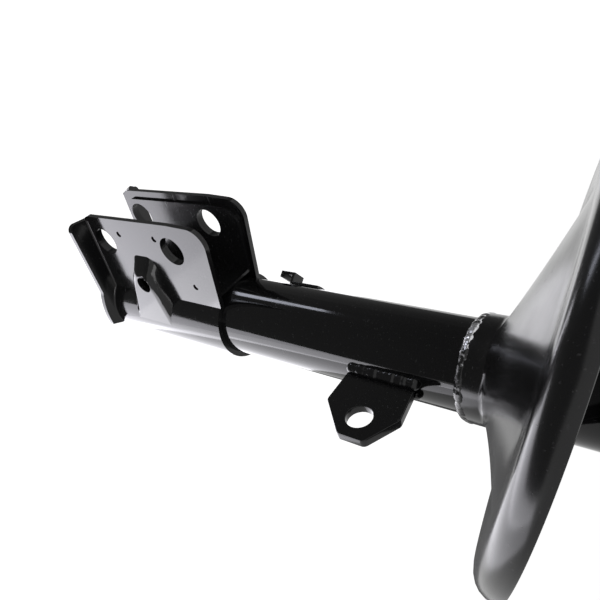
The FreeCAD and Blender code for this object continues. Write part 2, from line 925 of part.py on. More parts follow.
def stud_places():
    """The places of the mount's studs, on its face."""
    return around(stud_circle_diameter / 2, stud_count, 90.0)


def mount_studs():
    """The studs that fasten the mount to the car body."""
    shank = stud_diameter / 2
    knurl = stud_knurl_diameter / 2
    head = stud_head_diameter / 2
    head_bottom = -mount_wall - stud_head_height
    studs = []
    for place in stud_places():
        stud = turned([
            (0, head_bottom),
            (head, head_bottom),
            (head, -mount_wall),
            (knurl, -mount_wall),
            (knurl, 0),
            (shank, stud_relief),
            (shank, stud_length - rod_edge_bevel),
            (shank - rod_edge_bevel, stud_length),
            (0, stud_length),
        ])
        stud.translate(place)
        studs.append(stud)
    return Part.makeCompound(studs)


def mount_rubber():
    """The rubber that joins the mount's core to its cup."""
    inner = mount_core_diameter / 2
    outer = mount_cup_radius - mount_wall
    bottom = mount_wall - mount_cup_depth
    return turned([
        (inner, bottom + mount_rubber_inner_sink),
        (inner + mount_rubber_outer_width, bottom),
        (outer, bottom),
        (outer, -mount_rubber_outer_drop),
        (outer - mount_rubber_outer_width, -mount_rubber_outer_drop / 3),
        (inner + mount_rubber_groove_width, -mount_rubber_groove_depth),
        (inner + mount_rubber_inner_width, 0.0),
        (inner, 0.0),
    ])


def mount_core():
    """The steel sleeve in the mount's rubber, which the rod's stud passes through."""
    return ring(mount_core_diameter / 2, stud_hole, core_bottom, core_top)


def rod_washer():
    """The dished washer under the rod's nut."""
    edge = rod_washer_diameter / 2
    flat = edge - rod_washer_flat_inset
    top = core_top + rod_washer_height
    return turned([
        (stud_hole, core_top),
        (flat, core_top),
        (edge, core_top + rod_washer_dish),
        (edge, top + rod_washer_dish),
        (flat, top),
        (stud_hole, top),
    ])


def rod_nut():
    """The nut that holds the rod in the mount."""
    bottom = core_top + rod_washer_height
    return hexagon(rod_nut_width, bottom, bottom + rod_nut_height, stud_hole)


def bearing_race(bottom, top):
    """One race of the strut's bearing, with a groove for the balls."""
    outer = bearing_mean_radius + bearing_race_width / 2
    groove = Part.makeTorus(bearing_mean_radius, ball_diameter / 2 + seat_gap, Vector(0, 0, race_middle))
    return ring(outer, outer - bearing_race_width, bottom, top).cut(groove)


def upper_race():
    """The race under the mount's plate."""
    return bearing_race(upper_race_bottom, upper_race_top)


def lower_race():
    """The race on the upper spring seat."""
    return bearing_race(lower_race_bottom, lower_race_top)


def bearing_balls():
    """The balls between the two races."""
    balls = []
    for place in around(bearing_mean_radius, ball_count):
        balls.append(Part.makeSphere(ball_diameter / 2, level(place, race_middle)))
    return Part.makeCompound(balls)


def ball_cage():
    """The ring that keeps the balls apart."""
    half = race_gap / 2 - swivel_gap
    outer = bearing_mean_radius + cage_half_width
    inner = bearing_mean_radius - cage_half_width
    bottom = race_middle - half
    top = race_middle + half
    pockets = around(bearing_mean_radius, ball_count)
    return drill(ring(outer, inner, bottom, top), pockets, ball_diameter + 2 * cage_pocket_gap, bottom, top)


def upper_spring_seat():
    """The pressed seat for the top of the spring, with the neck that holds the dust boot."""
    wall = upper_seat_wall
    neck = upper_seat_neck_radius
    neck_bottom = upper_land - upper_seat_neck_length
    shoulder = bearing_mean_radius + bearing_race_width / 2 + upper_seat_land_margin
    step = shoulder + upper_seat_step_width
    edge = upper_seat_radius
    lip = edge + upper_seat_lip_draft
    lip_bottom = spring_land - upper_seat_lip
    return turned([
        (neck - wall, upper_land),
        (shoulder, upper_land),
        (step, spring_land),
        (edge, spring_land),
        (lip, lip_bottom),
        (lip - wall, lip_bottom),
        (edge - wall, spring_land - wall),
        (step - wall, spring_land - wall),
        (shoulder - wall, upper_land - wall),
        (neck, upper_land - wall),
        (neck, neck_bottom),
        (neck - wall, neck_bottom),
    ])


def upper_spring_pad():
    """The rubber pad between the upper seat and the spring."""
    inner = spring_mean_radius - spring_wire / 2 - upper_pad_inner_margin
    outer = spring_mean_radius + spring_wire / 2 + upper_pad_outer_margin
    return ring(outer, inner, spring_pad_bottom, spring_land - upper_seat_wall)


def boot_section(shrink, run_out):
    """The boot's stations along its axis and their radii, drawn in by a wall and run out past both ends."""
    collar = boot_collar_radius - shrink
    rib = boot_rib_radius - shrink
    valley = boot_valley_radius - shrink
    cuff = tube_radius + seat_gap + boot_wall - shrink
    collar_top_end = upper_land - upper_seat_wall
    collar_end = upper_land - upper_seat_neck_length - boot_collar_margin
    ribs_top = collar_end - boot_shoulder_length
    ribs_bottom = boot_bottom + boot_cuff_length
    pitch = (ribs_top - ribs_bottom) / boot_rib_count
    stations = [(collar_top_end + run_out, collar), (collar_end, collar)]
    for k in range(boot_rib_count):
        start = ribs_top - pitch * k
        slope = pitch * boot_rib_slope_share
        crest = pitch * boot_rib_crest_share
        stations.append((start, valley))
        stations.append((start - slope, rib))
        stations.append((start - slope - crest, rib))
        stations.append((start - 2 * slope - crest, valley))
    stations.append((ribs_bottom - boot_wall, cuff))
    stations.append((boot_bottom - run_out, cuff))
    return stations


def boot_loft(stations):
    """A ruled solid through circles along the X axis, turned up onto the strut's axis."""
    circles = [Part.Wire(Part.makeCircle(radius, Vector(x, 0, 0), Vector(1, 0, 0))) for x, radius in stations]
    body = Part.makeLoft(circles, True, True)
    body.rotate(Vector(), Vector(0, 1, 0), -90)
    return body


def dust_boot():
    """The ribbed boot from the upper seat's neck down over the tube."""
    outer = boot_loft(boot_section(0, 0))
    lip = ring(boot_lip_radius, tube_radius + seat_gap, boot_bottom, boot_bottom + boot_lip_height)
    return outer.cut(boot_loft(boot_section(boot_wall, cut_margin))).fuse(lip)


pieces = [
    outer_tube, base_cap, base_valve, pressure_tube, rod_guide, guide_bush, rod_seal, tube_cap,
    knuckle_bracket, bracket_liner, bracket_weld, link_bracket, link_welds, hose_clip,
    lower_spring_seat, seat_weld, lower_spring_pad, upper_spring_pad, upper_spring_seat,
    piston_rod, piston, piston_ring, valve_discs, piston_nut, rebound_collar, rebound_bumper,
    dust_boot, bump_stop, bump_washer, mount_plate, mount_studs, mount_rubber, mount_core,
    rod_washer, rod_nut, upper_race, bearing_balls, ball_cage, lower_race,
]

for piece in pieces:
    save(piece(), piece.__name__)

piston_room = piston_nut_bottom - rod_end_below_nut - pressure_tube_bottom - base_valve_spigot - damper_travel
print("room under the rod at full travel", round(piston_room, 1))
bump_stop_room = bump_stop_bottom - tube_top - tube_cap_top
print("bump stop shortened at full travel by", round(damper_travel - bump_stop_room, 1))
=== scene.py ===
# %% [markdown]
# # A suspension strut
# This scene dresses a CAD model of a suspension strut: a black tube with a pressed bracket at its foot, a
# tilted spring seat, a ribbed dust boot and a top mount. The CAD pieces keep their places. What CAD shows
# too plainly, such as soft rubber, foam, weld beads and rounded sheet edges, is modelled again here and
# rides on the same bodies. Everything is in metres, with Z up the strut.

import json
import math
import random

import bpy
from mathutils import Matrix, Vector

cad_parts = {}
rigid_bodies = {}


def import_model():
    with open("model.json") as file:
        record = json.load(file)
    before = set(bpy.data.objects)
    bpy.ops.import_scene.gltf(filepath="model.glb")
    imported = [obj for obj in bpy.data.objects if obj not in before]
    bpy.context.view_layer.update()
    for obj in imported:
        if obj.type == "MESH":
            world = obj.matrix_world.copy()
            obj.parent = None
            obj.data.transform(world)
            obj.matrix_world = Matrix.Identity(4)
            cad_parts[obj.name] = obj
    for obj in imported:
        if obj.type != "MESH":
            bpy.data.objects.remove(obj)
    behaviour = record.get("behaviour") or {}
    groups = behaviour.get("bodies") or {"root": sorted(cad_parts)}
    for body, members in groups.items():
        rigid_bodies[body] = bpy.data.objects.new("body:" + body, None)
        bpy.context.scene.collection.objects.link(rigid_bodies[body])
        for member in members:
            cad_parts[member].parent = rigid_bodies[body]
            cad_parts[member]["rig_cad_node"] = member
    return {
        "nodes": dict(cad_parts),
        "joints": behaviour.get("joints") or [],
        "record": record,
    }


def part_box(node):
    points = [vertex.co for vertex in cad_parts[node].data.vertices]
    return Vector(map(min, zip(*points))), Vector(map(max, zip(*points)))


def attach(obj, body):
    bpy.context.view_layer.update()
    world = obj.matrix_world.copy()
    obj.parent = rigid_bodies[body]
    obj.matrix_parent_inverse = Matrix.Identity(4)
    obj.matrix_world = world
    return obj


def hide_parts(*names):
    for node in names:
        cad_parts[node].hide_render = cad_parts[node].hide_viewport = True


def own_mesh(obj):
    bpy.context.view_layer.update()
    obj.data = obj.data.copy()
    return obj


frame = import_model()
nodes = frame["nodes"]
bodies = frame["record"]["behaviour"]["bodies"]
body_of_node = {name: body for body, names in bodies.items() for name in names}
bpy.ops.object.select_all(action="DESELECT")
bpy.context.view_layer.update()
bpy.context.scene.view_settings.view_transform = "Standard"

# %% [markdown]
# ## Sizes
# The driving sizes come from the frame where it can be measured, so that the dressed pieces follow the CAD.
# What the frame can't tell, such as the tilt of the spring seat, is written here once.

# %% Sizes
mm = 0.001
tube_low, tube_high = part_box("outer_tube")
tube_radius = round((tube_high.x - tube_low.x) / 2 / mm, 3)
seat_tilt = math.radians(17.5)
seat_azimuth = math.radians(26.0)
seat_offset = 32.0 * mm
seat_height = -271.9 * mm
seat_x = seat_offset * math.cos(seat_azimuth)
seat_y = seat_offset * math.sin(seat_azimuth)
seat_hinge = Vector((-math.sin(seat_azimuth), math.cos(seat_azimuth), 0.0))
seat_centre = Vector((seat_x, seat_y, seat_height))
seat_place = Matrix.Translation(seat_centre) @ Matrix.Rotation(-seat_tilt, 4, seat_hinge)
damper = next(joint for joint in frame["joints"] if joint["name"] == "damper")
damper_travel = damper["range_m"][1]
print("tube radius in mm", tube_radius, "damper travel in m", damper_travel)

# %% [markdown]
# ## Camera
# The picture was taken from beside the strut, a little above the bracket and below the seat, with the strut
# lying along the picture. A camera as wide as its focal length is long gives the same perspective. Two
# directions state its turn: where it looks, and which way points to the right of the picture.

# %% Camera
camera_place = Vector((186.7, 181.2, -217.9)) * mm
camera_forward = Vector((-0.5452, -0.5887, -0.5968)).normalized()
camera_right = Vector((-0.2576, -0.5598, 0.7875)).normalized()


def add_camera():
    """The camera that took the picture."""
    bpy.ops.object.camera_add(location=camera_place)
    camera = bpy.context.object
    up = camera_right.cross(camera_forward)
    camera.rotation_mode = "QUATERNION"
    camera.rotation_quaternion = Matrix((camera_right, up, -camera_forward)).transposed().to_quaternion()
    camera.data.sensor_width = 36.0
    camera.data.lens = 36.0
    camera.data.clip_start = 0.01
    camera.data.clip_end = 20.0
    bpy.context.scene.camera = camera


add_camera()
print("camera looks along", [round(x, 3) for x in camera_forward])

# %% [markdown]
# ## Shader maths
# Materials are built from nodes. Written plainly, a sum of two noises takes six lines of links. The small
# class Value makes it one: a socket can be added and multiplied like a number.

# %% Sockets as numbers


class Value:
    """A socket that behaves as a number, so that shader maths reads as arithmetic."""

    def __init__(self, finish, socket):
        self.finish = finish
        self.socket = socket

    def maths(self, operation, *terms):
        """A Math node over the terms."""
        return self.finish.node("ShaderNodeMath", {"operation": operation}, dict(enumerate(terms)))

    def __add__(self, other):
        return self.maths("ADD", self, other)

    def __radd__(self, other):
        return self.maths("ADD", other, self)

    def __sub__(self, other):
        return self.maths("SUBTRACT", self, other)

    def __rsub__(self, other):
        return self.maths("SUBTRACT", other, self)

    def __mul__(self, other):
        return self.maths("MULTIPLY", self, other)

    def __rmul__(self, other):
        return self.maths("MULTIPLY", other, self)


# %% [markdown]
# ## One material
# The class Finish holds one material while it is built. Its method node adds any node in one call, and a
# few short methods name the steps that paint, metal and rubber share: a cloudy noise, a ramp, a mix and a
# bump.

# %% One material


class Finish:
    """One material, to which nodes are added in one call each."""

    def __init__(self, owner):
        self.owner = owner
        owner.use_nodes = True
        self.tree = owner.node_tree
        self.tree.nodes.clear()
        self.place = self.node("ShaderNodeTexCoord", {}, {}, "Object")

    def node(self, kind, settings, sockets, output=0):
        """Add a node: its type, its settings, what its sockets take, and which output is used."""
        made = self.tree.nodes.new(kind)
        for key, value in settings.items():
            setattr(made, key, value)
        for key, value in sockets.items():
            if isinstance(value, Value):
                self.tree.links.new(value.socket, made.inputs[key])
            else:
                made.inputs[key].default_value = value
        return Value(self, made.outputs[output]) if made.outputs else None

    def noise(self, scale, detail=2.0, roughness=0.5, place=None):
        """A cloudy value from 0 to 1, with features about 1/scale metres wide."""
        sockets = {"Vector": place or self.place, "Scale": scale, "Detail": detail, "Roughness": roughness}
        return self.node("ShaderNodeTexNoise", {}, sockets, "Fac")

    def stretched(self, across, turn=(0.0, 0.0, 0.0)):
        """The object's coordinates, stretched by a factor along each axis after a turn."""
        return self.node("ShaderNodeMapping", {}, {"Vector": self.place, "Rotation": turn, "Scale": across})

    def ramp(self, value, low, high, first=0.0, second=1.0):
        """A value that goes from first to second while the driving value goes from low to high."""
        sockets = {"Value": value, "From Min": low, "From Max": high, "To Min": first, "To Max": second}
        return self.node("ShaderNodeMapRange", {"interpolation_type": "SMOOTHSTEP"}, sockets, "Result")

    def mix(self, share, first, second):
        """A colour between two colours."""
        sockets = {0: share, 6: first, 7: second}
        return self.node("ShaderNodeMix", {"data_type": "RGBA"}, sockets, 2)

    def bump(self, height, depth):
        """A normal from a height that goes from 0 to 1, depth metres high."""
        sockets = {"Height": height, "Distance": depth, "Strength": 1.0}
        return self.node("ShaderNodeBump", {}, sockets, "Normal")

    def surface(self, **sockets):
        """The Principled shader that ends the material. Underscores in names stand for spaces."""
        named = {key.replace("_", " "): value for key, value in sockets.items()}
        shader = self.node("ShaderNodeBsdfPrincipled", {}, named, "BSDF")
        self.node("ShaderNodeOutputMaterial", {}, {"Surface": shader})
        return self.owner


def new_finish(name):
    """An empty material."""
    return Finish(bpy.data.materials.new(name))


def grey(level, tint=0.0):
    """A grey, with a little blue where tint is above 0."""
    return (level, level, level * (1 + tint), 1.0)


# %% [markdown]
# ## Floor and background
# A part photographed for a catalogue stands on a pale floor that fades to white. The floor here is a wide
# plane well below the part. A share of its white comes from the floor itself and only for the camera,
# mirrors and glass, so that the part's own shadow still shows on it and no extra light falls on the part.

# %% Floor and world
floor_height = -700.0 * mm
floor_glow = 0.72
world_light = 0.35
white = (1.0, 1.0, 1.0, 1.0)
black = (0.0, 0.0, 0.0, 1.0)


def seen_directly(finish):
    """1 for rays from the camera, from mirrors and through glass, else 0."""
    path = finish.node("ShaderNodeLightPath", {}, {}, "Is Camera Ray")
    glossy = Value(finish, path.socket.node.outputs["Is Glossy Ray"])
    through = Value(finish, path.socket.node.outputs["Is Transmission Ray"])
    return path.maths("MAXIMUM", path, path.maths("MAXIMUM", glossy, through))


def floor_material():
    """A pale floor that fades to white in the picture and keeps soft shadows."""
    finish = new_finish("studio_floor")
    colour = finish.mix(finish.noise(3.0), grey(0.78), grey(0.82))
    glow = finish.mix(seen_directly(finish), black, grey(floor_glow))
    lit = {"Emission_Color": glow, "Emission_Strength": 1.0}
    return finish.surface(Base_Color=colour, Roughness=1.0, IOR=1.0, **lit)


def add_floor():
    """The level floor, which isn't part of the object."""
    bpy.ops.mesh.primitive_plane_add(size=12.0, location=(0, 0, floor_height))
    floor = bpy.context.object
    floor.name = "studio_floor"
    floor.data.materials.append(floor_material())


def set_world():
    """A white sky for the camera and mirrors, and a softer one as light on the part."""
    world = bpy.data.worlds.new("studio")
    bpy.context.scene.world = world
    sky = Finish(world)
    colour = sky.mix(seen_directly(sky), grey(world_light), white)
    background = sky.node("ShaderNodeBackground", {}, {"Color": colour, "Strength": 1.0}, "Background")
    sky.node("ShaderNodeOutputWorld", {}, {"Surface": background})


add_floor()
set_world()
print("floor at", floor_height)

# %% [markdown]
# ## Lamps
# Black paint shows little but its reflections, so the lamps decide how it looks. Soft boxes beside the
# floor give the broad pale band along the tube's side and the narrow one above it. They are seen by mirrors
# alone, so they add no glare to pale pieces. One large box overhead gives the plain light. The camera sees
# none of them.

# %% Lamps
aim = Vector((0.0, 0.0, -400.0)) * mm
plain_light = (1.0, 1.0, 1.0)
cool_light = (0.94, 0.93, 1.0)
blue_light = (0.84, 0.87, 1.0)
box_turn = 12.0


def add_lamp(name, place, width, length, radiance, colour):
    """A soft box that faces the part, as bright as the radiance says whatever its size."""
    bpy.ops.object.light_add(type="AREA", location=Vector(place) * mm)
    lamp = bpy.context.object
    lamp.name = name
    lamp.data.shape = "RECTANGLE"
    lamp.data.size = width * mm
    lamp.data.size_y = length * mm
    lamp.data.energy = radiance * math.pi * lamp.data.size * lamp.data.size_y
    lamp.data.color = colour
    lamp.visible_camera = False
    lamp.rotation_mode = "QUATERNION"
    lamp.rotation_quaternion = (aim - lamp.location).to_track_quat("-Z", "Y")
    return lamp


def add_mirror_box(name, place, width, length, radiance, colour, turn=0.0):
    """A soft box on the floor that faces up, turned about the upright, and seen in mirrors alone."""
    lamp = add_lamp(name, place, width, length, radiance, colour)
    lamp.rotation_mode = "XYZ"
    lamp.rotation_euler = (math.pi, 0.0, math.radians(turn))
    lamp.visible_diffuse = False


add_lamp("overhead_box", (300, 500, 700), 900, 900, 3.6, plain_light)
add_mirror_box("side_box", (-164, 511, -690), 180, 1400, 5.6, cool_light, turn=box_turn)
add_mirror_box("outer_box", (-414, 590, -691), 340, 1400, 2.8, cool_light, turn=box_turn)
add_mirror_box("corner_box", (-190, -360, -689), 90, 260, 1.6, cool_light)
add_mirror_box("strip_box", (375, -76, -690), 55, 190, 10.0, blue_light, turn=75.6)

# %% [markdown]
# ## Black cards
# Beside the pale bands the paint stays black, although floor and sky are white. A photographer gets that by
# laying black cards outside the picture, and so does this scene. The cards show in mirrors only.

# %% Black cards


def add_card(name, place, width, length):
    """A black card on the floor, which only mirrors see. It keeps the dark bands of the paint dark."""
    bpy.ops.mesh.primitive_plane_add(size=1.0, location=Vector(place) * mm)
    card = bpy.context.object
    card.name = name
    card.scale = (width * mm, length * mm, 1.0)
    bpy.ops.object.transform_apply(location=False, rotation=False, scale=True)
    finish = new_finish(name)
    card.data.materials.append(finish.surface(Base_Color=grey(0.3), Roughness=1.0, IOR=1.0))
    card.visible_camera = False
    card.visible_diffuse = False
    card.visible_shadow = False


add_card("wide_black_card", (525, 0, -695), 1250, 2400)
add_card("far_black_card", (-900, -400, -694), 980, 560)

# %% [markdown]
# ## Black paint
# Chassis parts are dipped and stoved: a thin, hard, glossy black coat. Its detail is small: the faint
# unevenness of a coat that has flowed, a little dust, and hairline scratches from handling. Noise stretched
# along an axis gives the scratches, and a weak bump gives the uneven coat.

# %% Black paint


def black_paint(name, level, roughness, flow=0.5, dust=0.5):
    """A stoved black coat, with its uneven surface, dust and hairline scratches."""
    finish = new_finish(name)
    cloud = finish.noise(38.0, 3.0)
    specks = finish.ramp(finish.noise(900.0, 2.0), 0.66, 0.74)
    hairs = finish.noise(70.0, 1.0, 0.5, finish.stretched((1.0, 9.0, 14.0), (0.5, 0.9, 0.2)))
    scratches = finish.ramp(hairs, 0.70, 0.74) * finish.ramp(cloud, 0.5, 0.62)
    dusty = specks * dust * 0.4 + scratches * 0.3
    colour = finish.mix(dusty, grey(level, 0.06), grey(level + 0.10, 0.04))
    rough = finish.ramp(cloud, 0.35, 0.7, roughness, roughness + 0.05) + dusty * 0.25
    coat = finish.noise(260.0, 2.0) * 0.7 + finish.noise(900.0, 1.0) * 0.3
    normal = finish.bump(coat, 0.000012 * flow + 0.000002)
    return finish.surface(Base_Color=colour, Roughness=rough, IOR=1.36, Normal=normal)


paints = {
    "tube_paint": black_paint("tube_paint", 0.005, 0.05, 0.4),
    "bracket_paint": black_paint("bracket_paint", 0.005, 0.10, 0.8),
    "liner_paint": black_paint("liner_paint", 0.007, 0.16, 1.0, dust=0.8),
    "seat_paint": black_paint("seat_paint", 0.005, 0.17, 0.8),
    "clip_paint": black_paint("clip_paint", 0.006, 0.16, 0.8),
    "painted_weld": black_paint("painted_weld", 0.006, 0.14, 1.2),
    "cap_steel": black_paint("cap_steel", 0.010, 0.22, 0.8),
}
print("paints", sorted(paints))

# %% [markdown]
# ## Metals
# Zinc plate is pale and slightly cloudy, chrome is a clean mirror with fine marks of grinding round the
# rod, bare weld metal is bright with darker heat tints, and sintered steel is dull with tiny pores.

# %% Metals


def metal(name, first, second, roughness, grain, bump_depth=0.00001, stretch=(1.0, 1.0, 1.0), pores=0.0):
    """A bare or plated metal: two tones in a cloudy mix, a grain that can be stretched, and pores."""
    finish = new_finish(name)
    cloud = finish.noise(55.0, 4.0, 0.6)
    marks = finish.noise(grain, 2.0, 0.6, finish.stretched(stretch))
    holes = finish.ramp(finish.noise(1400.0, 1.0), 0.60, 0.68) * pores
    tone = finish.ramp(cloud, 0.3, 0.7) * 0.6 + marks * 0.4
    plain = finish.mix(tone, first, second)
    colour = finish.mix(holes, plain, grey(0.02))
    rough = roughness + finish.ramp(marks, 0.3, 0.7) * 0.12 + holes * 0.3
    normal = finish.bump(marks - holes, bump_depth)
    return finish.surface(Base_Color=colour, Metallic=1.0, Roughness=rough, Normal=normal)


def bare_weld(name):
    """A bead that is half painted: bright where the coat never took or was knocked off, black elsewhere."""
    finish = new_finish(name)
    drops = finish.noise(420.0, 3.0, 0.6)
    patches = finish.noise(24.0, 2.0, 0.5)
    bare = finish.ramp(patches * 0.7 + drops * 0.3, 0.50, 0.55)
    tone = finish.mix(drops, grey(0.40, 0.03), grey(0.78, 0.03))
    colour = finish.mix(bare, grey(0.008), tone)
    rough = finish.ramp(drops, 0.3, 0.7, 0.16, 0.34)
    normal = finish.bump(drops, 0.00005)
    return finish.surface(Base_Color=colour, Metallic=bare, Roughness=rough, IOR=1.4, Normal=normal)


round_rod = (1.0, 1.0, 12.0)
bronze = (0.55, 0.35, 0.18, 1.0)
pale_bronze = (0.68, 0.46, 0.26, 1.0)
metals = {
    "zinc_plate": metal("zinc_plate", grey(0.34, 0.03), grey(0.46), 0.36, 420.0),
    "rod_chrome": metal("rod_chrome", grey(0.78, 0.02), grey(0.84, 0.02), 0.06, 500.0, 0.000002, round_rod),
    "weld_metal": bare_weld("weld_metal"),
    "plain_steel": metal("plain_steel", grey(0.38, 0.02), grey(0.52), 0.26, 360.0),
    "sintered_steel": metal("sintered_steel", grey(0.22, 0.02), grey(0.34), 0.45, 700.0, 0.00003, pores=1.0),
    "bush_bronze": metal("bush_bronze", bronze, pale_bronze, 0.28, 400.0),
    "bearing_steel": metal("bearing_steel", grey(0.66, 0.02), grey(0.74, 0.02), 0.05, 600.0, 0.000001),
}
print("metals", sorted(metals))

# %% [markdown]
# ## Rubber, foam and plastics
# Moulded rubber is dark and never quite matt, with a fine grain and a pale bloom in the hollows. Bump stop
# foam is a fine closed foam: pale, with a thin skin and tiny cells. Nylon is smooth with faint flow marks.

# %% Rubber, foam and plastics


def soft(name, first, second, roughness, grain, depth, cells=0.0):
    """A moulded material: two tones, a grain with real depth, and optional open cells."""
    finish = new_finish(name)
    bloom = finish.ramp(finish.noise(60.0, 4.0, 0.65), 0.40, 0.75)
    fine = finish.noise(grain, 3.0, 0.6)
    sockets = {"Vector": finish.place, "Scale": grain * 0.8}
    cell = finish.node("ShaderNodeTexVoronoi", {"feature": "F1"}, sockets, "Distance")
    colour = finish.mix(bloom * 0.7 + fine * 0.3, first, second)
    height = fine * (1.0 - cells) + cell * cells
    rough = roughness + fine * 0.12
    return finish.surface(Base_Color=colour, Roughness=rough, Normal=finish.bump(height, depth))


seal_brown = (0.045, 0.02, 0.014, 1.0)
pale_seal_brown = (0.07, 0.035, 0.025, 1.0)
foam_straw = (0.58, 0.50, 0.33, 1.0)
pale_foam_straw = (0.66, 0.58, 0.42, 1.0)
nylon_ivory = (0.66, 0.63, 0.55, 1.0)
pale_nylon_ivory = (0.74, 0.71, 0.64, 1.0)
softs = {
    "pad_rubber": soft("pad_rubber", grey(0.016), grey(0.034), 0.62, 800.0, 0.00006),
    "boot_rubber": soft("boot_rubber", grey(0.013), grey(0.026), 0.40, 700.0, 0.00003),
    "mount_rubber": soft("mount_rubber", grey(0.012), grey(0.028), 0.50, 700.0, 0.00005),
    "seal_rubber": soft("seal_rubber", seal_brown, pale_seal_brown, 0.35, 700.0, 0.00002),
    "bump_foam": soft("bump_foam", foam_straw, pale_foam_straw, 0.75, 900.0, 0.00012, cells=0.7),
    "piston_band": soft("piston_band", grey(0.08), grey(0.13), 0.35, 500.0, 0.00001),
    "bearing_nylon": soft("bearing_nylon", grey(0.04), grey(0.06), 0.38, 500.0, 0.00001),
    "cage_nylon": soft("cage_nylon", nylon_ivory, pale_nylon_ivory, 0.42, 500.0, 0.00001),
}
finishes = {**paints, **metals, **softs}
print("finishes", len(finishes))

# %% [markdown]
# ## Which piece has which finish
# Each CAD piece takes the finish of its slot in the record. A slot is a name for a finish, so that whoever
# uses the part can swap all pieces of one finish at once.

# %% Finishes on the CAD pieces
slot_pieces = {
    "tube_paint": ["outer_tube"],
    "bracket_paint": ["knuckle_bracket", "link_bracket"],
    "liner_paint": ["bracket_liner"],
    "seat_paint": ["lower_spring_seat", "upper_spring_seat"],
    "clip_paint": ["hose_clip"],
    "painted_weld": ["bracket_weld", "link_welds"],
    "weld_metal": ["seat_weld"],
    "pad_rubber": ["lower_spring_pad", "upper_spring_pad"],
    "boot_rubber": ["dust_boot"],
    "mount_rubber": ["mount_rubber"],
    "seal_rubber": ["rod_seal", "rebound_bumper"],
    "bump_foam": ["bump_stop"],
    "zinc_plate": ["mount_plate", "mount_studs", "mount_core", "rod_washer", "rod_nut", "bump_washer"],
    "rod_chrome": ["piston_rod"],
    "cap_steel": ["tube_cap"],
    "plain_steel": ["valve_discs", "piston_nut", "rebound_collar", "base_cap", "pressure_tube"],
    "sintered_steel": ["piston", "base_valve", "rod_guide"],
    "piston_band": ["piston_ring"],
    "bush_bronze": ["guide_bush"],
    "bearing_nylon": ["upper_race", "lower_race"],
    "cage_nylon": ["ball_cage"],
    "bearing_steel": ["bearing_balls"],
}
slot_of_node = {name: slot for slot, names in slot_pieces.items() for name in names}


def paint(piece, slot):
    """Give a piece one finish and name its slot."""
    piece.data.materials.clear()
    piece.data.materials.append(finishes[slot])


for name, piece in nodes.items():
    paint(piece, slot_of_node[name])
print("painted", len(slot_of_node))

# %% [markdown]
# ## Tools for modelling
# Every operator works on what is selected and active, so both are set before each step. A modifier is
# applied as soon as it is added, which leaves a plain mesh for the next step. A finished piece takes the
# finish of the CAD piece it stands in for and rides on the same body.

# %% Tools for modelling


def activate(piece):
    """Make one piece the only selected and the active one."""
    bpy.ops.object.select_all(action="DESELECT")
    piece.hide_viewport = False
    piece.select_set(True)
    bpy.context.view_layer.objects.active = piece


def apply_modifier(piece, kind, **settings):
    """Add a modifier with its settings and apply it."""
    activate(piece)
    modifier = piece.modifiers.new(kind.lower(), kind)
    for key, value in settings.items():
        setattr(modifier, key, value)
    bpy.ops.object.modifier_apply(modifier=modifier.name)


def round_edges(piece, width, segments=3, angle=30.0):
    """Round every edge sharper than an angle, and shade the rest smooth."""
    limit = {"limit_method": "ANGLE", "angle_limit": math.radians(angle)}
    apply_modifier(piece, "BEVEL", width=width * mm, segments=segments, **limit)
    bpy.ops.object.shade_smooth_by_angle(angle=math.radians(42.0))


def put_in_place(piece, place):
    """Turn and move a piece, with the place kept in its mesh."""
    activate(piece)
    piece.matrix_world = place
    bpy.ops.object.transform_apply(location=True, rotation=True, scale=True)


def stand_in(piece, *names):
    """Let a finished piece take the body, the finish and the place of its CAD pieces."""
    paint(piece, slot_of_node[names[0]])
    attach(piece, body_of_node[names[0]])
    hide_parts(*names)
    print(piece.name, "faces", len(piece.data.polygons), "height", round(piece.dimensions.z, 4))


# %% [markdown]
# ## Turned forms
# Most dressed pieces start as a circle that is extruded ring by ring, as one would pull a pot up on a
# wheel. A ring can also be tilted on the way, which the spring seat needs. Forms that belong to one piece
# are joined, and the rings that they share are welded.

# %% Turned forms


def extrude_rings(name, rings, count=96):
    """Extrude a circle through rings of radius, tilt about Y and centre."""
    radius, tilt, centre = rings[0]
    bpy.ops.object.select_all(action="DESELECT")
    bpy.ops.mesh.primitive_circle_add(vertices=count, radius=radius)
    piece = bpy.context.object
    piece.name = name
    bpy.ops.object.mode_set(mode="EDIT")
    bpy.ops.mesh.select_all(action="SELECT")
    bpy.ops.transform.translate(value=centre)
    for next_radius, next_tilt, next_centre in rings[1:]:
        bpy.ops.mesh.extrude_region_move(TRANSFORM_OT_translate={"value": next_centre - centre})
        bpy.ops.transform.rotate(value=tilt - next_tilt, orient_axis="Y", center_override=next_centre)
        bpy.ops.transform.resize(value=(next_radius / radius,) * 3, center_override=next_centre)
        radius, tilt, centre = next_radius, next_tilt, next_centre
    bpy.ops.mesh.select_all(action="SELECT")
    bpy.ops.mesh.remove_doubles(threshold=0.005 * mm)
    bpy.ops.mesh.normals_make_consistent(inside=False)
    bpy.ops.object.mode_set(mode="OBJECT")
    return piece


def turned_form(name, profile, count=96, closed=False):
    """Extrude a circle along a profile of radius and height in millimetres."""
    points = list(profile) + list(profile[:1]) * closed
    rings = [(radius * mm, 0.0, Vector((0.0, 0.0, height * mm))) for radius, height in points]
    return extrude_rings(name, rings, count)


def join_forms(name, forms):
    """Join several forms into one piece and weld their shared rings."""
    activate(forms[0])
    for form in forms[1:]:
        form.select_set(True)
    bpy.ops.object.join()
    piece = bpy.context.object
    piece.name = name
    bpy.ops.object.mode_set(mode="EDIT")
    bpy.ops.mesh.select_all(action="SELECT")
    bpy.ops.mesh.remove_doubles(threshold=0.01 * mm)
    bpy.ops.mesh.normals_make_consistent(inside=False)
    bpy.ops.object.mode_set(mode="OBJECT")
    return piece


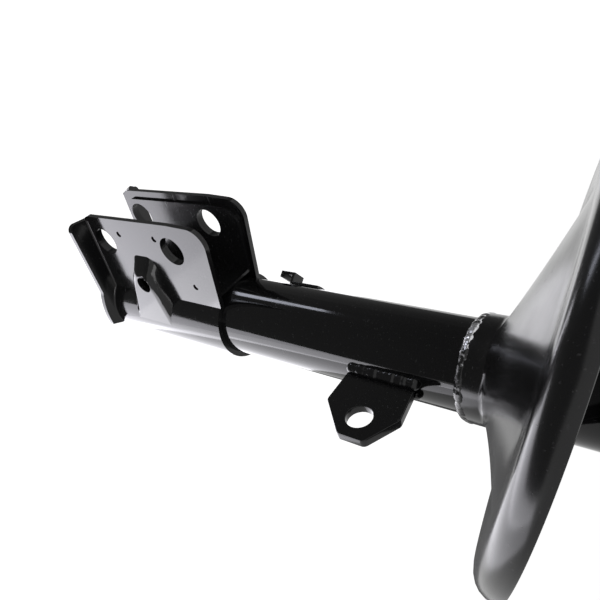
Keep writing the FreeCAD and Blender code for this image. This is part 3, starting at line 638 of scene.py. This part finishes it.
# %% [markdown]
# ## Rounded edges
# Sheet metal is never sharp: cut edges are broken by the dies and the paint rounds them again. The edge
# catches the light and tells the eye how thick the sheet is. Each hard CAD piece is copied, its flat faces
# are merged back from triangles, and a bevel rounds every sharp edge.

# %% Rounded copies


def plain_copy(name):
    """A copy of a CAD piece with its triangles merged back to faces."""
    activate(nodes[name])
    bpy.ops.object.duplicate()
    piece = bpy.context.object
    piece.name = name + "_rounded"
    del piece["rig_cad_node"]
    bpy.ops.mesh.customdata_custom_splitnormals_clear()
    bpy.ops.object.mode_set(mode="EDIT")
    bpy.ops.mesh.select_all(action="SELECT")
    bpy.ops.mesh.remove_doubles(threshold=0.002 * mm)
    bpy.ops.mesh.dissolve_limited(angle_limit=math.radians(0.5))
    bpy.ops.object.mode_set(mode="OBJECT")
    bpy.ops.object.shade_smooth()
    return piece


def finish_copy(piece, name, width):
    """Round the sharp edges of a copy, keep its flat faces flat, and show it."""
    round_edges(piece, width, segments=2, angle=32.0)
    apply_modifier(piece, "WEIGHTED_NORMAL", mode="FACE_AREA_WITH_ANGLE", keep_sharp=True)
    stand_in(piece, name)


rounded = {"bracket_liner": 0.6, "link_bracket": 0.5, "hose_clip": 0.3, "tube_cap": 0.6, "mount_plate": 0.5,
           "mount_core": 0.5, "rod_washer": 0.5, "rod_nut": 0.5, "bump_washer": 0.5, "upper_spring_seat": 0.5,
           "upper_spring_pad": 0.8, "rod_seal": 0.4, "rebound_bumper": 0.5}
for name, width in rounded.items():
    finish_copy(plain_copy(name), name, width)

# %% [markdown]
# ## Selecting by place
# By hand, one would click the points to move. A script selects them by their place instead: a small test
# says of each point whether it belongs, and an edge or face is taken when all of its points pass.

# %% Selecting by place


def select_by_place(piece, kind, test):
    """Select the vertices, edges or faces whose points, in millimetres, all pass a test, in edit mode."""
    activate(piece)
    bpy.ops.object.mode_set(mode="EDIT")
    bpy.context.tool_settings.mesh_select_mode = [kind == name for name in ("vertices", "edges", "polygons")]
    bpy.ops.mesh.select_all(action="DESELECT")
    bpy.ops.object.mode_set(mode="OBJECT")
    mesh = piece.data
    passed = [test(vertex.co / mm) for vertex in mesh.vertices]
    for item in getattr(mesh, kind):
        item.select = passed[item.index] if kind == "vertices" else all(passed[i] for i in item.vertices)
    bpy.ops.object.mode_set(mode="EDIT")


# %% [markdown]
# ## Flanges of the knuckle bracket
# The bracket's lower end is turned outwards on both ears, which stiffens the thin sheet. The die leaves it
# leaning away a little, and a press can't fold a sheet sharply. So the outer corner of each flange is
# pulled down, which draws the rest of its free edge along in proportion, and a bevel gives the bend its
# radius.

# %% Flanges of the knuckle bracket
ear_face = 17.2
wrap_face = 24.4
flange_face = -538.7
flange_depth = 7.0
flange_length = 62.0
flange_lean = 4.0
bend_radius = 2.0
corner_start = 58.0
ear_start = 17.5
end_slope = math.tan(math.radians(5.0))


def from_axis(point):
    """The distance of a point from the strut's axis."""
    return math.hypot(point.x, point.y)


def on_flange_edge(point):
    """Whether a point belongs to the free edge of a flange."""
    outside = abs(point.y) > ear_face + 0.5 and from_axis(point) > wrap_face + 0.5
    return point.z < flange_face + flange_depth and outside


def flange_corner(point):
    """Whether a point of a flange's free edge belongs to its outer corner."""
    return on_flange_edge(point) and point.x > corner_start


def on_bend(point):
    """Whether a point lies where a flange leaves the ear and the wrap."""
    level = abs(point.z - flange_face - point.x * end_slope) < 0.3
    on_wrap = abs(from_axis(point) - wrap_face) < 0.2 and point.x < ear_start
    on_ear = abs(abs(point.y) - ear_face) < 0.2
    return level and abs(point.y) > ear_face - 0.2 and (on_ear or on_wrap)


bracket = plain_copy("knuckle_bracket")
select_by_place(bracket, "vertices", on_flange_edge)
bpy.ops.mesh.hide(unselected=True)
bpy.ops.object.mode_set(mode="OBJECT")
select_by_place(bracket, "vertices", flange_corner)
bpy.ops.transform.translate(value=(0.0, 0.0, -flange_lean * mm), use_proportional_edit=True,
                            proportional_edit_falloff="LINEAR", proportional_size=flange_length * mm)
bpy.ops.mesh.reveal(select=False)
bpy.ops.object.mode_set(mode="OBJECT")
select_by_place(bracket, "edges", on_bend)
print("bend edges", bracket.data.total_edge_sel)
bpy.ops.mesh.bevel(offset=bend_radius * mm, segments=5, profile=0.5, clamp_overlap=True)
bpy.ops.object.mode_set(mode="OBJECT")

# %% [markdown]
# ## Ribs of the knuckle bracket
# Each ear has a raised rib round a hole, which keeps the ear from bending. A stamped rib comes out as a
# soft dome. The crown of the CAD rib is relaxed until it flows, while its foot and the rim of its hole stay
# where they are.

# %% Ribs of the knuckle bracket
rib_hole = Vector((29.5, 0.0, -494.2))
rib_hole_rim = 5.4
rib_across = (4.0, 52.0)
rib_along = (-524.0, -477.0)


def on_crown(side):
    """A test for the points of one rib that stand clear of the ear, but for the rim of its hole."""
    def test(point):
        raised = side * point.y > ear_face + 0.4 and from_axis(point) > wrap_face + 0.3
        beside_hole = math.hypot(point.x - rib_hole.x, point.z - rib_hole.z) > rib_hole_rim
        within = rib_across[0] < point.x < rib_across[1] and rib_along[0] < point.z < rib_along[1]
        return raised and beside_hole and within
    return test


for side in (1.0, -1.0):
    select_by_place(bracket, "vertices", on_crown(side))
    print("crown points", bracket.data.total_vert_sel)
    bpy.ops.mesh.vertices_smooth(factor=0.5, repeat=60)
    bpy.ops.object.mode_set(mode="OBJECT")
bpy.context.tool_settings.mesh_select_mode = (True, False, False)
finish_copy(bracket, "knuckle_bracket", 0.5)

# %% [markdown]
# ## Lower spring seat
# The seat is pressed from one sheet: a short collar on the tube, a cone that leans over, and a dish with a
# rolled bottom. Its rings start level on the collar and tilt as they climb the cone. The rolled bottom is
# what throws the long highlight round the dish, so its rings follow a smooth curve where CAD has straight
# lines.

# %% Lower spring seat
collar_radius = 24.4
collar_bottom = -306.4
cone_start = -297.4
cone_end_radius = 60.0
cone_end_height = -4.2
cone_shares = (0.05, 0.12, 0.22, 0.34, 0.46, 0.58, 0.70, 0.80, 0.88, 0.94)
seat_wall = 2.4


def dish_ring(radius, height):
    """A ring of the tilted dish, from its radius and height in millimetres."""
    lift = height * mm
    centre = Vector((seat_offset - lift * math.sin(seat_tilt), 0.0, seat_height + lift * math.cos(seat_tilt)))
    return radius * mm, -seat_tilt, centre


def cone_ring(share):
    """A ring of the cone, level at 0 and in the dish at 1."""
    end_radius, end_tilt, end_centre = dish_ring(cone_end_radius, cone_end_height)
    start_centre = Vector((0.0, 0.0, cone_start * mm))
    level_part = (1.0 - share) * (collar_radius - 0.5) * mm
    across = level_part + share * end_radius * math.cos(end_tilt)
    rise = share * end_radius * math.sin(end_tilt)
    return math.hypot(across, rise), math.atan2(rise, across), start_centre.lerp(end_centre, share)


def level_ring(radius, height):
    """A ring round the tube."""
    return radius * mm, 0.0, Vector((0.0, 0.0, height * mm))


rings = [level_ring(collar_radius, collar_bottom), level_ring(collar_radius, cone_start - 1.6)]
rings += [level_ring(collar_radius + 0.1, cone_start - 0.5)]
rings += [cone_ring(share) for share in cone_shares]
rolled = [(60.0, -4.6), (62.6, -5.1), (66.0, -5.3), (70.0, -5.3), (74.0, -5.3), (77.6, -5.1), (80.4, -4.4),
          (82.8, -3.1), (84.5, -1.4), (85.7, 0.8), (86.4, 3.0), (86.7, 4.7), (86.6, 5.0)]
rings += [dish_ring(radius, height) for radius, height in rolled]
seat = extrude_rings("spring_seat_dish", rings, count=160)
put_in_place(seat, Matrix.Rotation(seat_azimuth, 4, "Z"))
apply_modifier(seat, "SOLIDIFY", thickness=seat_wall * mm, offset=-1.0)
round_edges(seat, 0.5, angle=50.0)
stand_in(seat, "lower_spring_seat")

# %% [markdown]
# ## Rubber pads and mount
# The lower pad is a moulded ring with a lip that keeps the coil centred, and two shallow grooves where the
# coil lies. The mount's rubber is bonded between a steel cup and a core, with a groove that lets it bend.

# %% Rubber pads and mount
pad_profile = [(60.5, -2.4), (76.0, -2.4), (76.0, 0.9), (75.2, 1.6), (72.4, 1.6), (71.6, 0.9), (70.6, 0.9),
               (69.8, 1.6), (67.4, 1.6), (66.6, 0.9), (65.6, 0.9), (64.8, 1.6), (62.7, 1.9), (62.7, 5.0),
               (62.2, 5.6), (61.1, 5.6), (60.5, 5.0)]
pad = turned_form("lower_pad_ring", pad_profile, count=128, closed=True)
round_edges(pad, 0.25)
put_in_place(pad, seat_place)
stand_in(pad, "lower_spring_pad")

mount_profile = [(12.0, -17.0), (17.0, -19.0), (34.0, -19.0), (34.0, -3.0), (31.5, -1.4), (29.0, -1.2),
                 (26.5, -2.6), (24.0, -5.4), (21.5, -6.9), (19.0, -6.4), (17.0, -3.6), (15.5, -0.6),
                 (14.4, 0.0), (12.0, 0.0)]
block = turned_form("mount_rubber_block", mount_profile, closed=True)
round_edges(block, 0.5, angle=25.0)
stand_in(block, "mount_rubber")

# %% [markdown]
# ## Threads
# A thread tells the eye at once that a pin is a stud. Cut as rings it looks the same as a helix from any
# distance, and the form stays closed.

# %% Threads
thread_pitch = 1.5


def thread(low, high, crest, root):
    """The points of a thread between two heights: crest, flank, root and flank for each turn."""
    points = []
    for turn in range(int((high - low) / thread_pitch)):
        start = low + turn * thread_pitch
        shares = ((0.08, crest), (0.44, root), (0.56, root), (0.92, crest))
        points += [(radius, start + share * thread_pitch) for share, radius in shares]
    return points


def threaded_pin(name, profile):
    """A turned pin with both ends closed."""
    pin = turned_form(name, profile, count=48)
    activate(pin)
    bpy.ops.object.mode_set(mode="EDIT")
    bpy.ops.mesh.select_all(action="SELECT")
    bpy.ops.mesh.fill_holes(sides=0)
    bpy.ops.mesh.normals_make_consistent(inside=False)
    bpy.ops.object.mode_set(mode="OBJECT")
    bpy.ops.object.shade_smooth_by_angle(angle=math.radians(25.0))
    return pin


# %% [markdown]
# ## Mount studs and piston rod
# Three studs hold the strut to the car's body. Each has a low head under the plate, a short plain shank and
# the thread. One is turned and copied round the mount. The rod is ground steel with a thinner foot for the
# piston, and the same thread on its tip for the nut.

# %% Mount studs and piston rod
stud_circle = 61.0
first_stud = 90.0
stud_count = 3
stud_foot = [(6.6, -5.4), (7.0, -5.0), (7.0, -3.0), (5.4, -3.0), (5.4, 0.0), (4.9, 0.2), (4.9, 1.4)]
stud_tip = [(4.9, 22.8), (3.9, 24.0)]
studs = [threaded_pin("mount_stud", stud_foot + thread(1.6, 22.7, 4.9, 4.25) + stud_tip)]
for copies in range(1, stud_count):
    activate(studs[0])
    bpy.ops.object.duplicate()
    studs.append(bpy.context.object)
for number, stud in enumerate(studs):
    angle = math.radians(first_stud + 360.0 / stud_count * number)
    place = Vector((stud_circle * math.cos(angle), stud_circle * math.sin(angle), 0.0)) * mm
    put_in_place(stud, Matrix.Translation(place))
stand_in(join_forms("mount_studs_threaded", studs), "mount_studs")

rod_low, rod_high = (corner.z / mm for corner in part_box("piston_rod"))
rod_foot = [(5.0, rod_low), (6.0, rod_low + 1.0), (6.0, -253.3), (10.0, -253.3), (10.0, -31.0), (9.0, -30.0),
            (6.0, -30.0), (6.0, 4.0)]
rod_tip = [(6.0, 16.8), (5.0, rod_high)]
rod = threaded_pin("piston_rod_threaded", rod_foot + thread(4.4, 16.5, 6.0, 5.3) + rod_tip)
stand_in(rod, "piston_rod")

# %% [markdown]
# ## Bump stop
# The bump stop is cast from polyurethane foam. Its waists let it fold up softly before it goes solid, so
# its side is a chain of round rolls, smallest at the nose.

# %% Bump stop
foam_top = -30.0
foam_profile = [(10.3, -90.0), (14.5, -90.0), (16.3, -88.6), (18.6, -84.5), (20.0, -80.5), (20.4, -77.5),
                (19.9, -74.5), (18.7, -71.8), (18.1, -70.0), (18.7, -67.6), (20.8, -63.6), (22.3, -60.0),
                (22.8, -57.3), (22.3, -54.4), (20.5, -50.0), (18.6, -46.6), (18.1, -45.0), (18.6, -43.4),
                (20.9, -41.3), (22.4, -39.2), (22.8, -36.8), (22.7, -33.0), (22.2, foam_top),
                (10.3, foam_top)]
foam = turned_form("bump_stop_rolls", foam_profile, closed=True)
round_edges(foam, 0.6, angle=20.0)
stand_in(foam, "bump_stop")
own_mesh(foam)

# %% [markdown]
# ## Dust boot
# The boot is blow-moulded rubber: a thin wall in round bellows that fold up as the damper shortens. One rib
# is modelled and an array repeats it. The collar above and the cuff below are turned the same way and
# welded on, and the whole skin is then given its wall.

# %% Dust boot
boot_top = -17.5
boot_length = 235.0
boot_wall = 1.2
rib_count = 14
rib_top = -40.0
ribs_length = 190.5
rib_pitch = ribs_length / rib_count
rib_curve = [(0.0, 25.9), (0.08, 26.5), (0.16, 28.0), (0.25, 29.9), (0.33, 31.0), (0.40, 31.3), (0.47, 31.0),
             (0.55, 29.9), (0.64, 28.0), (0.72, 26.5), (0.80, 25.9), (0.90, 25.7), (1.0, 25.9)]
bellows = turned_form("boot_bellows", [(radius, rib_top - share * rib_pitch) for share, radius in rib_curve])
rib_step = (0.0, 0.0, -rib_pitch * mm)
apply_modifier(bellows, "ARRAY", count=rib_count, use_relative_offset=False, use_constant_offset=True,
               constant_offset_displace=rib_step, use_merge_vertices=True, merge_threshold=0.01 * mm)
collar_curve = [(39.6, boot_top), (39.6, -30.6), (39.2, -32.4), (37.8, -34.0), (34.5, -35.4), (30.0, -37.0),
                (27.0, -38.6), (25.9, rib_top)]
cuff_curve = [(25.9, rib_top - ribs_length), (25.2, -231.6), (23.9, -232.6), (23.2, -234.0), (23.1, -236.0),
              (23.1, -248.8), (23.4, -249.6), (25.0, -249.9), (25.6, -250.4), (25.6, -252.0),
              (25.1, boot_top - boot_length), (23.0, boot_top - boot_length)]
boot_collar = turned_form("boot_collar", collar_curve)
boot_cuff = turned_form("boot_cuff", cuff_curve)
boot = join_forms("boot_skin", [bellows, boot_collar, boot_cuff])
apply_modifier(boot, "SOLIDIFY", thickness=boot_wall * mm, offset=-1.0)
bpy.ops.object.shade_smooth_by_angle(angle=math.radians(50.0))
stand_in(boot, "dust_boot")
boot_keep = 1.0 - damper_travel / (boot_length * mm)
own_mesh(boot)
print("boot keeps", round(boot_keep, 3))

# %% [markdown]
# ## Weld beads
# An arc weld is laid down in drops, and each drop freezes over the edge of the last. The bead is made that
# way: one flattened drop is modelled, copied along the seam with a little scatter, and the row is melted
# into one skin.

# %% Weld beads
scatter = random.Random(11)
bead_skin = 0.3


def weld_bead(name, places, width, height):
    """A row of drops at places, each a point and the direction out of the seam, melted together."""
    bpy.ops.object.select_all(action="DESELECT")
    bpy.ops.mesh.primitive_uv_sphere_add(segments=16, ring_count=10, radius=0.5)
    drop = bpy.context.object
    drop.name = name
    bpy.ops.object.mode_set(mode="EDIT")
    bpy.ops.mesh.select_all(action="SELECT")
    bpy.ops.transform.resize(value=(width * mm, width * 1.05 * mm, height * mm))
    bpy.ops.mesh.select_all(action="DESELECT")
    bpy.ops.object.mode_set(mode="OBJECT")
    drops = []
    for point, outwards in places:
        activate(drop)
        bpy.ops.object.duplicate()
        copy = bpy.context.object
        size = scatter.uniform(0.90, 1.10)
        turn = outwards.to_track_quat("Z", "Y").to_matrix().to_4x4()
        lift = outwards * scatter.uniform(-0.12, 0.12) * mm
        copy.matrix_world = Matrix.Translation(point + lift) @ turn @ Matrix.Diagonal((size, size, size, 1.0))
        drops.append(copy)
    activate(drop)
    bpy.ops.object.delete()
    bead = join_forms(name, drops)
    activate(bead)
    bpy.ops.object.transform_apply(location=True, rotation=True, scale=True)
    apply_modifier(bead, "REMESH", mode="VOXEL", voxel_size=bead_skin * mm)
    apply_modifier(bead, "SMOOTH", factor=0.5, iterations=7)
    bpy.ops.object.shade_smooth()
    return bead


# %% [markdown]
# ## Welds of the seat and the link bracket
# One bead runs round the tube under the seat's collar, in the corner between the two, so its drops lean
# down and outwards. Two straight beads run up the foot of the link bracket, one on each side of the plate.

# %% Welds of the seat and the link bracket
seat_bead_height = -307.6
seat_bead_out = 0.9
seat_drop_count = 84
link_bead_side = 3.2
link_bead_out = 0.4
link_drop_count = 22


def around_tube(radius, height, count):
    """Places round the tube, each with its direction outwards."""
    places = []
    for step in range(count):
        angle = 2.0 * math.pi * step / count
        outwards = Vector((math.cos(angle), math.sin(angle), -0.55)).normalized()
        point = Vector((radius * math.cos(angle), radius * math.sin(angle), height)) * mm
        places.append((point, outwards))
    return places


def along_link(side, radius, count):
    """Places up one side of the link bracket's foot, each with its direction outwards."""
    low, high = (corner.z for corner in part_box("link_welds"))
    outwards = Vector((side, 1.0, 0.0)).normalized()
    places = []
    for step in range(count):
        height = low + (high - low) * (step + 0.5) / count
        places.append((Vector((side * link_bead_side * mm, radius * mm, height)), outwards))
    return places


seat_places = around_tube(tube_radius + seat_bead_out, seat_bead_height, seat_drop_count)
stand_in(weld_bead("seat_weld_bead", seat_places, width=5.6, height=3.8), "seat_weld")
link_places = []
for side in (-1.0, 1.0):
    link_places += along_link(side, tube_radius + link_bead_out, link_drop_count)
stand_in(weld_bead("link_weld_beads", link_places, width=5.8, height=4.0), "link_welds")
